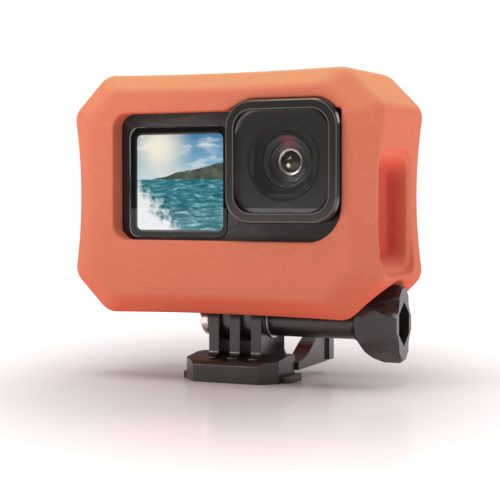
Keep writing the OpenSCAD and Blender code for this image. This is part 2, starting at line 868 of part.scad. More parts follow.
module buckle_clip_left() {
  color("#23211f") mirror([1, 0, 0]) buckle_clip();
}

// ---- thumbscrew ----

module thumbscrew_washer() {
  color("silver") difference() {
    axis_rod(neck_r + 0.6, washer_x0, neck_x0);
    axis_rod(bore_r, 0, 20);
  }
}

// Knob outline turned around the axis: slim neck, quick flare, thick rim.
module knob_turned() {
  translate([0, 0, axis_z]) rotate([0, 90, 0]) rotate_extrude($fn = 96)
    polygon([[0, neck_x0], [neck_r, neck_x0], [neck_r, flare_x], [neck_r + 0.5, flare_x + 1.4],
             [knob_r - 3.5, flare_x + 2.8], [knob_r - 2, flare_x + 4.2], [knob_r - 0.9, flare_x + 5.9],
             [knob_r, flare_x + 8.4], [knob_r, knob_end_x - 1], [knob_r - 0.8, knob_end_x], [0, knob_end_x]]);
}

// Long hexagon seen along the thumbscrew's axis, with its points up and down.
module wing_outline(half_w, half_h) {
  polygon([[0, half_h], [half_w, half_h * 0.45], [half_w, -half_h * 0.45],
           [0, -half_h], [-half_w, -half_h * 0.45], [-half_w, half_h * 0.45]]);
}

module thumbscrew_knob() {
  color("#2a2826") difference() {
    intersection() {
      knob_turned();
      from_side(0, knob_end_x + 1) translate([0, axis_z]) wing_outline(knob_w / 2, knob_r + 0.6);
    }
    from_side(knob_end_x - socket_deep, knob_end_x + 1) translate([0, axis_z])
      wing_outline(socket_w / 2, socket_h / 2);
    axis_rod(bolt_r, neck_x0 - 1, flare_x);
  }
}

module thumbscrew_bolt() {
  color("silver") axis_rod(bolt_r, bolt_end_x, flare_x);
}

module thumbscrew_nut() {
  grip_x0 = -stack - nut_out;
  color("#b9aba6") difference() {
    union() {
      translate([grip_x0, 0, axis_z]) rotate([0, 90, 0]) rotate(30)
        cylinder(h = 3.7, r = nut_r, $fn = 6);
      translate([grip_x0, 0, axis_z]) rotate([0, -90, 0]) rotate_extrude()
        polygon([[0, -seam], [nut_head_r, -seam], [nut_head_r, dome_out - 0.9],
                 [nut_head_r - 0.9, dome_out], [0, dome_out]]);
    }
    axis_rod(bolt_r + 0.05, bolt_end_x - 0.6, 0);
  }
}

float_body();
camera_front_shell();
camera_rear_shell();
shell_gasket();
shell_screws();
front_display_glass();
front_display();
rear_touch_glass();
rear_display();
status_light();
lens_cover_frame();
lens_cover_glass();
lens_cover_seal();
lens_barrel();
lens_trim_ring();
lens_front_element();
lens_rear_elements();
image_sensor();
sensor_board();
main_board();
heat_spreader();
battery();
memory_card();
usb_port();
speaker();
battery_door();
battery_door_seal();
battery_door_pin();
shutter_button();
shutter_switch();
mode_button();
mode_switch();
mounting_finger_left();
mounting_finger_right();
finger_pins();
buckle_base();
buckle_clip_left();
buckle_clip_right();
thumbscrew_knob();
thumbscrew_bolt();
thumbscrew_washer();
thumbscrew_nut();
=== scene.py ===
# %% [markdown]
# # An action camera in a foam float
# The object is a small square-lens camera pushed into a one-piece foam float. It tilts between the
# fingers of a plastic buckle and is clamped by a thumbscrew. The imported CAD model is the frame: it
# says where everything is, and this script gives each visible piece its finished shape and surface.

# %% Load the frame
import json
import math
import bmesh
import bpy
from mathutils import Matrix, Vector


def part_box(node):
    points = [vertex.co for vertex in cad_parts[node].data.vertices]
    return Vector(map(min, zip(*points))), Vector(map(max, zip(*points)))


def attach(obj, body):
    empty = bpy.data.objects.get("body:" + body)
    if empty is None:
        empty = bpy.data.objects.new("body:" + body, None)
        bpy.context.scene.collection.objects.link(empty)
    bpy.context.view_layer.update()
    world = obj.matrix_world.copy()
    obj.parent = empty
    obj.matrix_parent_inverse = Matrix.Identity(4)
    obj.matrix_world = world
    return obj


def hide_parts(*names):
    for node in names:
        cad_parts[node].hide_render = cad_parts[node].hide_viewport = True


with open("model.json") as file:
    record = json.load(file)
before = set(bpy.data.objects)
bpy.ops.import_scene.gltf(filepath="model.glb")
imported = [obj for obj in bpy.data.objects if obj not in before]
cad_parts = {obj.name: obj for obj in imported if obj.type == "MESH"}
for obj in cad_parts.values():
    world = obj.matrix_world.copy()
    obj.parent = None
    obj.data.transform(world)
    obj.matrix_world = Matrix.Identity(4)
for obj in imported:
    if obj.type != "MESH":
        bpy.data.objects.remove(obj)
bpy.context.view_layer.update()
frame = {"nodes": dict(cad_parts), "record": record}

# %% [markdown]
# ## Units and places
# Blender works in metres, and a camera part is easier to think about in millimetres, so sizes are
# written as a number times MM. Places come from the boxes of the CAD nodes, so a new piece sits
# exactly where its CAD solid sits. The camera's body is as deep in front of Y = 0 as behind it.

# %% Units, places and shared sizes
MM = 0.001
joints = {joint["name"]: joint for joint in frame["record"]["behaviour"]["joints"]}
AXIS_Z = joints["camera_tilt"]["pos_m"][2]


def low(node):
    return Vector(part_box(node)[0])


def high(node):
    return Vector(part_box(node)[1])


def middle(node):
    return (low(node) + high(node)) / 2


def size(node):
    return high(node) - low(node)


float_low, float_high = low("float_body"), high("float_body")
shell_low, shell_high = low("camera_front_shell"), high("camera_rear_shell")
body_span = shell_high - shell_low
body_back = Vector(((shell_low.x + shell_high.x) / 2, shell_high.y, (shell_low.z + shell_high.z) / 2))
body_front = -shell_high.y
lens_at = middle("lens_cover_frame")

FLOAT_CORNER = 10.2 * MM
FLOAT_SIDE_WAIST = 1.8 * MM
FLOAT_TOP_WAIST = 0.55 * MM
FLOAT_BEVEL_SCALE = 0.855
RIDGE_FRONT = float_low.y + 5.0 * MM
RIDGE_BACK = float_high.y - 4.5 * MM
POCKET_AT = Vector((float_high.x - FLOAT_SIDE_WAIST, RIDGE_FRONT + 11.5 * MM, shell_low.z + 19 * MM))
POCKET_WIDTH = 20.6 * MM
POCKET_HEIGHT = 32 * MM
COVER_CORNER = 7.2 * MM
print("float is", [round(side / MM, 1) for side in size("float_body")], "mm")

# %% [markdown]
# ## The camera and the studio
# The view is from the front right, a little above the buckle, with a long lens so that the sides
# hardly converge. Four soft boxes light the object: a warm one above, the key from the front left,
# a warm one from the right, and one above and behind that draws a light line along the top edges.
# The world is a dim warm fill, and looks white only where the camera sees it directly.

# %% Camera
VIEW_AZIMUTH = math.radians(26)
VIEW_PITCH = math.radians(1.98)
VIEW_DISTANCE = 401 * MM
across = Vector((math.cos(VIEW_AZIMUTH), math.sin(VIEW_AZIMUTH), 0))
ahead = Vector((-math.sin(VIEW_AZIMUTH), math.cos(VIEW_AZIMUTH), 0))
eye = across * 0.8 * MM - ahead * VIEW_DISTANCE + Vector((0, 0, 48.2 * MM))
camera_data = bpy.data.cameras.new("view_camera")
camera_data.lens = 108
camera_data.sensor_width = 36
camera_data.clip_start = 0.01
camera_data.clip_end = 50
camera = bpy.data.objects.new("view_camera", camera_data)
camera.location = eye
camera.rotation_euler = (math.radians(90) - VIEW_PITCH, 0, VIEW_AZIMUTH)
bpy.context.collection.objects.link(camera)
bpy.context.scene.camera = camera
print("camera at", [round(value, 3) for value in eye])


# %% Lights, world and floor
def soft_box(name, azimuth, elevation, distance, width, height, power, tint=(1, 1, 1)):
    """A rectangular light on a circle round the object, turned to face it."""
    turn, rise = math.radians(azimuth), math.radians(elevation)
    aim = Vector((0, 0, 48 * MM))
    away = Vector((math.sin(turn) * math.cos(rise), -math.cos(turn) * math.cos(rise), math.sin(rise)))
    light = bpy.data.lights.new(name, "AREA")
    light.shape = "RECTANGLE"
    light.size, light.size_y = width, height
    light.energy = power
    light.color = tint
    lamp = bpy.data.objects.new(name, light)
    lamp.location = aim + away * distance
    lamp.rotation_euler = (-away).to_track_quat("-Z", "Y").to_euler()
    bpy.context.collection.objects.link(lamp)


WARM = (1.0, 0.93, 0.82)
soft_box("top_box", -10, 78, 0.9, 0.7, 0.5, 5.9, WARM)
soft_box("key_box", -40, 24, 1.6, 0.6, 0.6, 7.5)
soft_box("side_box", 112, 22, 1.0, 0.3, 0.5, 2.3, (1.0, 0.78, 0.72))
soft_box("back_box", 175, 48, 1.0, 0.8, 0.4, 3.5)

world = bpy.data.worlds.new("studio")
bpy.context.scene.world = world
world.use_nodes = True
sky = world.node_tree
backdrop = sky.nodes["Background"]
ray = sky.nodes.new("ShaderNodeLightPath")
glow = sky.nodes.new("ShaderNodeMix")
glow.data_type = "RGBA"
glow.inputs["A"].default_value = (0.20, 0.19, 0.18, 1)
glow.inputs["B"].default_value = (1, 1, 1, 1)
sky.links.new(ray.outputs["Is Camera Ray"], glow.inputs["Factor"])
sky.links.new(glow.outputs["Result"], backdrop.inputs["Color"])
bpy.context.scene.view_settings.view_transform = "Standard"

# %% [markdown]
# ## Building materials
# A material is a small network of nodes. These helpers keep the networks short. A node's inputs are
# given by name, either as plain values or as the sockets to join to them, and the helpers for the
# commonest nodes hand back the one output that is wanted, so that a network reads like a sum.


# %% Shader helpers
def feed(tree, socket, value):
    """Joins a socket to an input, or types a plain value into it. A colour gets its fourth number."""
    if isinstance(value, bpy.types.NodeSocket):
        tree.links.new(value, socket)
    elif socket.type == "RGBA" and len(value) == 3:
        socket.default_value = (*value, 1)
    else:
        socket.default_value = value


def fill(tree, node, **values):
    for name, value in values.items():
        feed(tree, node.inputs[name.replace("_", " ")], value)
    return node


def add(tree, kind, **values):
    """A node of that kind. Names with a capital are inputs, the others are the node's own settings."""
    node = tree.nodes.new("ShaderNode" + kind)
    for name in [name for name in values if name[0].islower()]:
        setattr(node, name, values.pop(name))
    return fill(tree, node, **values)


def calc(tree, operation, first, second):
    """One Math node. Each side is a number or a socket."""
    node = add(tree, "Math", operation=operation)
    for socket, value in zip(node.inputs, (first, second)):
        feed(tree, socket, value)
    return node.outputs["Value"]


def stretch(tree, value, **limits):
    """Maps a value from one range onto another, and keeps it inside the new one."""
    return add(tree, "MapRange", Value=value, **limits).outputs["Result"]


def noise(tree, vector, **values):
    return add(tree, "TexNoise", Vector=vector, **values).outputs["Fac"]


def parts(tree, vector):
    """The X, Y and Z of a vector."""
    return add(tree, "SeparateXYZ", Vector=vector).outputs


def upwardness(tree):
    """How far the surface faces up: 1 for a floor, 0 for a wall, -1 for a ceiling."""
    return parts(tree, add(tree, "NewGeometry").outputs["Normal"])["Z"]


def object_space(tree, **mapping):
    """Object coordinates in metres, turned, scaled or shifted."""
    place = add(tree, "TexCoord").outputs["Object"]
    return add(tree, "Mapping", Vector=place, **mapping).outputs["Vector"]


def mix_color(tree, mask, first, second):
    """A colour that goes from first to second with the mask. Each is a colour or a socket."""
    blend = add(tree, "Mix", data_type="RGBA", Factor=mask)
    for key, value in (("A", first), ("B", second)):
        feed(tree, [item for item in blend.inputs if item.name == key and item.type == "RGBA"][0], value)
    return [item for item in blend.outputs if item.type == "RGBA"][0]


def new_material(name, color, roughness, **plain):
    """A material, its node tree and its shader, with the plain values set on the shader."""
    made = bpy.data.materials.new(name)
    made.use_nodes = True
    tree = made.node_tree
    shader = tree.nodes["Principled BSDF"]
    fill(tree, shader, Base_Color=color, Roughness=roughness, **plain)
    return made, tree, shader


# %% [markdown]
# ## Shared effects
# Three effects turn up in many of the materials, so each is built once as a node group with named
# sockets. Grain is the fine texture a mould leaves, with a slower drift of tone under it. Edge wear
# finds the sharp outside edges and breaks them up with noise. Dust settles where a surface faces up.


# %% Node groups
def new_group(name, inputs, outputs):
    """A node group with those sockets: {name: (type, default)} going in, and names of floats out."""
    tree = bpy.data.node_groups.new(name, "ShaderNodeTree")
    for key, (kind, value) in inputs.items():
        socket = tree.interface.new_socket(key, in_out="INPUT", socket_type="NodeSocket" + kind)
        if value is not None:
            socket.default_value = value
    for key in outputs:
        tree.interface.new_socket(key, in_out="OUTPUT", socket_type="NodeSocketFloat")
    return tree, tree.nodes.new("NodeGroupInput").outputs, tree.nodes.new("NodeGroupOutput")


def build_grain():
    tree, given, result = new_group(
        "grain", {"Vector": ("Vector", None), "Grains per metre": ("Float", 2500.0),
                  "Drift per metre": ("Float", 60.0)}, ("Height", "Tone"))
    fine = noise(tree, given["Vector"], Scale=given["Grains per metre"], Detail=4.0, Roughness=0.6)
    slow = noise(tree, given["Vector"], Scale=given["Drift per metre"], Detail=3.0, Roughness=0.5)
    fill(tree, result, Height=fine, Tone=slow)
    return tree


def build_edge_wear():
    tree, given, result = new_group("edge_wear", {"Vector": ("Vector", None)}, ("Mask",))
    pointed = add(tree, "NewGeometry").outputs["Pointiness"]
    sharp = stretch(tree, pointed, From_Min=0.53, From_Max=0.62)
    broken = noise(tree, given["Vector"], Scale=900.0, Detail=3.0)
    fill(tree, result, Mask=calc(tree, "MULTIPLY", sharp, broken))
    return tree


def build_dust():
    tree, given, result = new_group(
        "dust", {"Vector": ("Vector", None), "Amount": ("Float", 0.5)}, ("Mask",))
    level = stretch(tree, upwardness(tree), From_Min=0.3, From_Max=1.0)
    specks = noise(tree, given["Vector"], Scale=1400.0, Detail=5.0, Roughness=0.7)
    lying = calc(tree, "MULTIPLY", level, stretch(tree, specks, From_Min=0.5, From_Max=0.8))
    fill(tree, result, Mask=calc(tree, "MULTIPLY", lying, given["Amount"]))
    return tree


GROUPS = {"grain": build_grain(), "edge_wear": build_edge_wear(), "dust": build_dust()}
print("shared groups:", ", ".join(GROUPS))


# %% [markdown]
# ## One recipe for moulded and metal surfaces
# Most finishes here differ only in their numbers: two tones that drift into each other, how coarse
# the grain is and how deep it bumps, a lighter tone on worn edges, and a little dust. The recipe
# places the shared groups with those numbers.


# %% The finish recipe
DUST_TONE = (0.62, 0.58, 0.54)


def use_group(tree, name, vector, **values):
    node = tree.nodes.new("ShaderNodeGroup")
    node.node_tree = GROUPS[name]
    return fill(tree, node, Vector=vector, **values).outputs


def finish_surface(name, dark, light, roughness, grains=2500.0, drift=60.0, bump=0.02, spread=0.08,
                   worn=None, dust=0.0, **plain):
    """A moulded or metal surface: tones, grain, worn edges and dust."""
    made, tree, shader = new_material(name, dark, roughness, **plain)
    vector = object_space(tree)
    grain = use_group(tree, "grain", vector, Grains_per_metre=grains, Drift_per_metre=drift)
    color = mix_color(tree, grain["Tone"], dark, light)
    if worn is not None:
        color = mix_color(tree, use_group(tree, "edge_wear", vector)["Mask"], color, worn)
    if dust:
        color = mix_color(tree, use_group(tree, "dust", vector, Amount=dust)["Mask"], color, DUST_TONE)
    rough = stretch(tree, grain["Tone"], To_Min=roughness - spread, To_Max=roughness + spread)
    bumps = add(tree, "Bump", Height=grain["Height"], Strength=1.0, Distance=bump * MM)
    fill(tree, shader, Base_Color=color, Roughness=rough, Normal=bumps.outputs["Normal"])
    return made


# %% [markdown]
# ## The finishes
# The camera's case is near-black with a soft sheen, the lens frame is glossier, and the mount is
# filled nylon that goes grey where its edges are rubbed. The lens parts are matt black so that they
# reflect little. Metal parts are steel, a plated nut and a grey alloy.

# %% Plastics and metals
case_finish = finish_surface(
    "case_plastic", (0.011, 0.0095, 0.0085), (0.021, 0.0185, 0.017), 0.42, grains=5200.0, bump=0.015,
    worn=(0.07, 0.065, 0.06), dust=0.05)
gloss_finish = finish_surface(
    "polished_black", (0.013, 0.0105, 0.009), (0.020, 0.0165, 0.0145), 0.16, grains=7000.0, bump=0.001,
    spread=0.03, Coat_Weight=0.5, Coat_Roughness=0.08)
# A painted highlight: the cover's two fine lines are made paler, standing in for light caught along its
# edges.
highlight_line_finish = finish_surface(
    "painted_highlight_line", (0.095, 0.085, 0.08), (0.14, 0.128, 0.12), 0.34, grains=6000.0, bump=0.001)
barrel_finish = finish_surface(
    "anodised_black", (0.007, 0.006, 0.0055), (0.012, 0.010, 0.0095), 0.5, grains=8000.0, bump=0.002,
    Specular_IOR_Level=0.3)
ring_finish = finish_surface(
    "lens_ring_black", (0.007, 0.006, 0.0055), (0.012, 0.010, 0.0095), 0.38, grains=8000.0, bump=0.002)
mount_finish = finish_surface(
    "filled_nylon", (0.019, 0.016, 0.0145), (0.030, 0.025, 0.022), 0.24, grains=3600.0, drift=120.0,
    bump=0.006, spread=0.05, worn=(0.075, 0.066, 0.06), dust=0.04, Specular_IOR_Level=0.7)
seal_finish = finish_surface(
    "silicone_seal", (0.012, 0.012, 0.012), (0.03, 0.03, 0.03), 0.6, grains=3000.0, bump=0.02)
steel_finish = finish_surface(
    "turned_steel", (0.50, 0.49, 0.48), (0.66, 0.65, 0.64), 0.30, grains=9000.0, bump=0.004,
    Metallic=1.0)
nut_finish = finish_surface(
    "plated_nut", (0.62, 0.54, 0.52), (0.80, 0.71, 0.68), 0.14, grains=6000.0, bump=0.003,
    spread=0.05, Metallic=1.0)
alloy_finish = finish_surface(
    "grey_alloy", (0.42, 0.42, 0.43), (0.58, 0.58, 0.59), 0.38, grains=4000.0, bump=0.006,
    Metallic=1.0)
pack_finish = finish_surface(
    "battery_sleeve", (0.05, 0.05, 0.055), (0.09, 0.09, 0.095), 0.55, grains=2600.0, bump=0.015)
chip_finish = finish_surface(
    "sensor_face", (0.02, 0.02, 0.05), (0.06, 0.03, 0.09), 0.12, grains=9000.0, bump=0.001)
lamp_finish = finish_surface(
    "unlit_light_pipe", (0.03, 0.03, 0.032), (0.05, 0.05, 0.052), 0.2, grains=2000.0, bump=0.003)
button_finish = finish_surface(
    "button_red", (0.28, 0.02, 0.015), (0.40, 0.035, 0.022), 0.35, grains=3600.0, bump=0.01,
    worn=(0.5, 0.12, 0.1))
dark_panel_finish = finish_surface(
    "dark_panel", (0.004, 0.005, 0.007), (0.007, 0.009, 0.012), 0.25, grains=9000.0, bump=0.001)
print("surface finishes:", len(bpy.data.materials))


# %% [markdown]
# ### Foam
# Closed-cell foam is dull and dry, with tiny cells that catch the light and a slow drift of tone.
# Over the drift lie the skin's faint rubbing marks, the cells, which a Voronoi pattern makes, and
# dust. Painted light makes the top paler and yellower, and painted shade makes the underside and the
# floor of the side pocket a deeper red. Each of these is a mask and a tone, and they are laid over
# each other in that order.


# %% Foam finish
def painted_top_light(tree, vector):
    """A mask for the painted light that makes the float's top paler and yellower. It fades as the surface
    turns away, and stops below the top edge.
    """
    upward = stretch(tree, upwardness(tree), From_Min=0.15, From_Max=0.95, To_Max=0.6,
                     interpolation_type="SMOOTHSTEP")
    near_top = stretch(tree, parts(tree, vector)["Z"], From_Min=float_high.z - 15 * MM,
                       From_Max=float_high.z - 10 * MM)
    return calc(tree, "MULTIPLY", upward, near_top)


def painted_pocket_shade(tree, vector):
    """A mask for the painted shade, strongest on the floor of the pocket in the float's right side."""
    at = parts(tree, vector)
    mouth = POCKET_AT.x
    inside = stretch(tree, at["X"], From_Min=mouth - 1.2 * MM, From_Max=mouth - 4.8 * MM, To_Max=0.85)
    limits = (("X", mouth - 9 * MM, mouth),
              ("Y", POCKET_AT.y - POCKET_WIDTH / 2, POCKET_AT.y + POCKET_WIDTH / 2),
              ("Z", POCKET_AT.z - POCKET_HEIGHT / 2, POCKET_AT.z + POCKET_HEIGHT / 2))
    for axis, start, end in limits:
        after = calc(tree, "GREATER_THAN", at[axis], start)
        before = calc(tree, "LESS_THAN", at[axis], end)
        inside = calc(tree, "MULTIPLY", inside, calc(tree, "MULTIPLY", after, before))
    return inside


def foam_surface():
    made, tree, shader = new_material("closed_cell_foam", (0.70, 0.20, 0.12), 0.88,
                                      Specular_IOR_Level=0.22)
    vector = object_space(tree)
    grain = use_group(tree, "grain", vector, Grains_per_metre=1300.0, Drift_per_metre=38.0)
    streaks = add(tree, "Mapping", Vector=vector, Scale=(260, 260, 900)).outputs["Vector"]
    marks = noise(tree, streaks, Scale=1.0, Detail=5.0, Roughness=0.7)
    cells = add(tree, "TexVoronoi", Vector=vector, Scale=2300.0, feature="SMOOTH_F1").outputs["Distance"]
    layers = (
        (stretch(tree, marks, From_Min=0.52, From_Max=0.85, To_Max=0.45), (0.78, 0.27, 0.17)),
        (stretch(tree, cells, From_Min=0.25, From_Max=0.75, To_Max=0.22), (0.50, 0.11, 0.065)),
        (use_group(tree, "dust", vector, Amount=0.10)["Mask"], (0.80, 0.62, 0.55)),
        # Painted light: the top is made paler and yellower, standing in for the warm light from above.
        (painted_top_light(tree, vector), (0.74, 0.42, 0.20)),
        # Painted shade: surfaces that face down are made a deeper red.
        (stretch(tree, upwardness(tree), From_Min=-0.1, From_Max=-0.75, To_Max=0.8), (0.74, 0.125, 0.065)),
        # Painted shade: the floor of the side pocket is made a darker red.
        (painted_pocket_shade(tree, vector), (0.58, 0.075, 0.05)))
    color = mix_color(tree, grain["Tone"], (0.66, 0.175, 0.105), (0.74, 0.225, 0.135))
    for mask, tone in layers:
        color = mix_color(tree, mask, color, tone)
    height = calc(tree, "SUBTRACT", grain["Height"], cells)
    bumps = add(tree, "Bump", Height=height, Strength=1.0, Distance=0.07 * MM)
    fill(tree, shader, Base_Color=color, Normal=bumps.outputs["Normal"])
    return made


foam_finish = foam_surface()


# %% [markdown]
# ### Circuit boards
# A board is green lacquer over copper tracks. A brick pattern makes the tracks, and the lacquer is
# glossy, so the same shader does for both boards.


# %% Circuit board
def board_surface():
    made, tree, shader = new_material("circuit_board", (0.01, 0.09, 0.03), 0.3)
    vector = object_space(tree, Scale=(900, 900, 900))
    upright = add(tree, "Mapping", Vector=vector, Rotation=(math.radians(90), 0, 0)).outputs["Vector"]
    tracks = add(tree, "TexBrick", Vector=upright, Scale=1.0, Mortar_Size=0.06,
                 Color1=(0.012, 0.10, 0.035), Color2=(0.01, 0.075, 0.03), Mortar=(0.45, 0.30, 0.10))
    raised = add(tree, "Bump", Height=tracks.outputs["Fac"], Distance=0.03 * MM)
    fill(tree, shader, Base_Color=tracks.outputs["Color"], Normal=raised.outputs["Normal"])
    return made


board_finish = board_surface()


# %% [markdown]
# ### Glass
# The cover and both screens have clear panes, and the first lens has a coating that tints what it
# reflects. Faint smears of roughness keep the large panes from looking like holes. Deeper in, painted
# light glows on two lens parts: a painted reflection, a warm spot low on the second lens, and a
# painted red glow on the ring above it.


# %% Glass
def glass_surface(name, color, tint=(1, 1, 1), bend=1.5):
    made, tree, shader = new_material(name, color, 0.02, Transmission_Weight=1.0, IOR=bend,
                                      Specular_Tint=tint)
    grain = use_group(tree, "grain", object_space(tree), Grains_per_metre=500.0, Drift_per_metre=90.0)
    smear = stretch(tree, grain["Tone"], From_Min=0.35, From_Max=0.8, To_Min=0.0, To_Max=0.012)
    fill(tree, shader, Roughness=smear)
    return made


def paint_reflection_spot(made, x, z, radius, color, strength):
    """A painted reflection: a soft round spot that glows on a lens part, seen from the front."""
    tree = made.node_tree
    flat = object_space(tree, Scale=(1, 0, 1), Location=(-x, 0, -z))
    away = add(tree, "VectorMath", operation="LENGTH", Vector=flat)
    spot = stretch(tree, away.outputs["Value"], From_Min=radius, From_Max=radius * 0.3,
                   interpolation_type="SMOOTHSTEP")
    fill(tree, tree.nodes["Principled BSDF"], Emission_Strength=strength,
         Emission_Color=mix_color(tree, spot, (0.0, 0.0, 0.0), color))


inner_lens_finish = finish_surface(
    "coated_inner_lens", (0.020, 0.013, 0.005), (0.07, 0.045, 0.014), 0.12, grains=3000.0, drift=500.0,
    bump=0.0005, spread=0.03)
# Painted reflection: a warm spot glows low on the second lens, standing in for a reflected lamp.
paint_reflection_spot(inner_lens_finish, lens_at.x - 0.9 * MM, lens_at.z - 0.9 * MM, 0.75 * MM, (1.0, 0.86, 0.52), 1.0)
# Painted light: a red glow on the black lens ring above the second lens.
paint_reflection_spot(ring_finish, lens_at.x + 0.2 * MM, lens_at.z + 4.7 * MM, 3.2 * MM, (0.13, 0.016, 0.022), 0.8)
cover_glass_finish = glass_surface("cover_glass", (0.97, 0.975, 0.98))
screen_glass_finish = glass_surface("screen_glass", (0.95, 0.96, 0.97))
lens_glass_finish = glass_surface("coated_lens_glass", (0.90, 0.90, 0.86), (1.0, 0.70, 0.66), 1.2)
print("glass finishes made")

# %% [markdown]
# ### The picture on the front screen
# The front screen is on, so it needs a picture, and an empty seascape is a fair stand-in for what
# such a camera sees. It is painted with nodes: a sky that pales towards the horizon with a sun in
# it, soft clouds, a dark headland, and a sea whose waves break white in the near corner. It glows.


# %% Screen picture
def ramp(tree, source, *stops):
    """A colour ramp through stops of (place, colour)."""
    node = add(tree, "ValToRGB", Fac=source)
    items = node.color_ramp.elements
    while len(items) < len(stops):
        items.new(0.5)
    for item, (place, color) in zip(items, stops):
        item.position = place
        item.color = (*color, 1)
    return node.outputs["Color"]


def paint_sky(tree, unit, right, up):
    blue = ramp(tree, up, (0.55, (0.60, 0.74, 0.80)), (0.72, (0.20, 0.45, 0.62)), (1.0, (0.05, 0.22, 0.42)))
    wide = add(tree, "Mapping", Vector=unit, Scale=(2.2, 1.0, 7.0)).outputs["Vector"]
    clouds = noise(tree, wide, Scale=1.4, Detail=6.0, Roughness=0.6)
    cover = stretch(tree, clouds, From_Min=0.50, From_Max=0.72)
    cloudy = mix_color(tree, cover, blue, (0.85, 0.88, 0.88))
    sun_right, sun_up = 0.26, 0.86
    aside = calc(tree, "POWER", calc(tree, "SUBTRACT", right, sun_right), 2.0)
    above = calc(tree, "POWER", calc(tree, "SUBTRACT", up, sun_up), 2.0)
    away = calc(tree, "SQRT", calc(tree, "ADD", aside, above), 0.0)
    glow = stretch(tree, away, From_Min=0.45, From_Max=0.03, interpolation_type="SMOOTHSTEP")
    return mix_color(tree, glow, cloudy, (1.0, 0.93, 0.78))


def paint_sea(tree, unit, right, up, spray):
    ripple = add(tree, "Mapping", Vector=unit, Scale=(5.0, 1.0, 26.0), Rotation=(0, math.radians(6), 0))
    waves = noise(tree, ripple.outputs["Vector"], Scale=1.3, Detail=7.0, Roughness=0.62, Distortion=0.8)
    water = ramp(tree, waves, (0.30, (0.01, 0.07, 0.10)), (0.50, (0.03, 0.20, 0.24)),
                 (0.62, (0.18, 0.45, 0.48)), (0.72, (0.85, 0.90, 0.90)))
    near = calc(tree, "SUBTRACT", 0.72, calc(tree, "ADD", right, up))
    crest = calc(tree, "ADD", near, spray)
    return mix_color(tree, stretch(tree, crest, From_Min=0.66, From_Max=0.86), water, (0.92, 0.95, 0.95))


def picture_surface(node):
    made, tree, shader = new_material("screen_picture", (0, 0, 0), 0.3)
    at, span = low(node), size(node)
    unit = object_space(tree, Scale=(1 / span.x, 1, 1 / span.z),
                        Location=(-at.x / span.x, 0, -at.z / span.z))
    place = parts(tree, unit)
    right, up = place["X"], place["Z"]
    spray = noise(tree, unit, Scale=9.0, Detail=8.0, Roughness=0.7)
    ridge = add(tree, "TexNoise", W=right, Scale=3.2, Detail=5.0, noise_dimensions="1D").outputs["Fac"]
    slope = calc(tree, "MULTIPLY", calc(tree, "SUBTRACT", right, 0.25), 0.22)
    skyline = calc(tree, "ADD", calc(tree, "MULTIPLY", ridge, 0.10), slope)
    land = calc(tree, "LESS_THAN", up, calc(tree, "ADD", skyline, 0.49))
    soil = ramp(tree, spray, (0.35, (0.02, 0.05, 0.05)), (0.65, (0.14, 0.15, 0.10)))
    shore = mix_color(tree, land, paint_sky(tree, unit, right, up), soil)
    below = calc(tree, "LESS_THAN", up, 0.53)
    view = mix_color(tree, below, shore, paint_sea(tree, unit, right, up, spray))
    fill(tree, shader, Emission_Color=view, Emission_Strength=0.9)
    return made


picture_finish = picture_surface("front_display")
print("picture painted on", [round(side / MM, 1) for side in size("front_display")], "mm")

# %% [markdown]
# ### Which node has which finish
# These CAD nodes are shown as they are or as rounded copies of themselves. The rest are replaced by
# new pieces further down, which bring their own finish.

# %% Finishes of the CAD nodes
FINISH_OF = {
    case_finish: ("camera_front_shell", "camera_rear_shell", "battery_door", "mode_button", "memory_card"),
    seal_finish: ("shell_gasket", "lens_cover_seal", "battery_door_seal"),
    steel_finish: ("shell_screws", "usb_port", "speaker", "battery_door_pin", "shutter_switch",
                   "mode_switch", "finger_pins", "thumbscrew_bolt", "thumbscrew_washer"),
    mount_finish: ("mounting_finger_left", "mounting_finger_right", "buckle_base", "buckle_clip_left",
                   "buckle_clip_right", "thumbscrew_knob"),
    alloy_finish: ("heat_spreader",),
    board_finish: ("main_board", "sensor_board"),
    pack_finish: ("battery",),
    chip_finish: ("image_sensor",),
    lamp_finish: ("status_light",),
    button_finish: ("shutter_button",),
    nut_finish: ("thumbscrew_nut",),
    picture_finish: ("front_display",),
    dark_panel_finish: ("rear_display",),
    cover_glass_finish: ("lens_cover_glass",),
    screen_glass_finish: ("front_display_glass", "rear_touch_glass"),
    lens_glass_finish: ("lens_rear_elements",),
}
for finish, names in FINISH_OF.items():
    for name in names:
        slots = frame["nodes"][name].material_slots
        if not slots:
            frame["nodes"][name].data.materials.append(finish)
        for place in slots:
            place.material = finish
print("finished CAD nodes:", sum(len(names) for names in FINISH_OF.values()))


# %% [markdown]
# ## The floor
# The floor is pale and a little glossy, so it takes a soft shadow and a faint reflection. Away from
# the object it glows until it is as white as the backdrop, and no horizon shows. The patch that
# doesn't glow is an oval, twice as long towards the view as it is wide.


